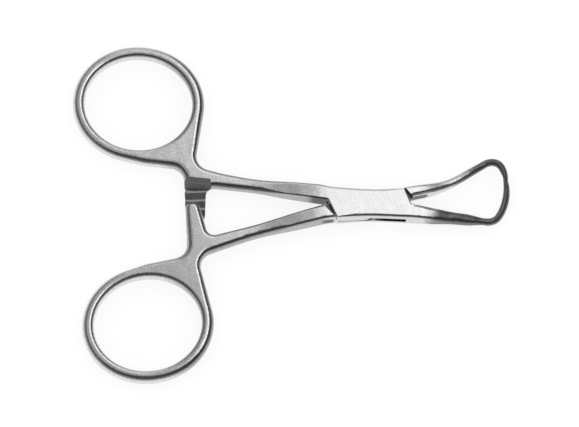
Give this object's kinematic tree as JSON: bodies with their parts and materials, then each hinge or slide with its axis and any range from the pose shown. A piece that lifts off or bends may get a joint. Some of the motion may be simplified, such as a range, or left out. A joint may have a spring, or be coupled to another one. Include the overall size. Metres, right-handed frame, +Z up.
{
  "type": "towel clamp",
  "caption": "Scissor-handled surgical towel clamp: two steel halves crossed in a box lock, finger rings, a toothed ratchet, and curved needle-pointed jaws that meet in a loop.",
  "frame": {"origin": "on the hinge pin's axis, at the underside of the box lock, where the clamp rests", "axes": "+X from the pin to the jaws, +Y towards the ring of the half that carries the cheeks, +Z up, along the pin"},
  "size_m": [0.0894, 0.0736, 0.0042],
  "materials": {
    "satin_steel": "satin ground stainless steel"
  },
  "bodies": {
    "box_body": {"box_half": "satin_steel", "lock_pin": "satin_steel"},
    "through_body": {"through_half": "satin_steel"}
  },
  "joints": [
    {"name": "lock_hinge", "type": "hinge", "parent": "box_body", "child": "through_body", "pos_m": [0, 0, 0.0021], "axis": [0, 0, 1], "range_deg": [-3, 60]}
  ]
}
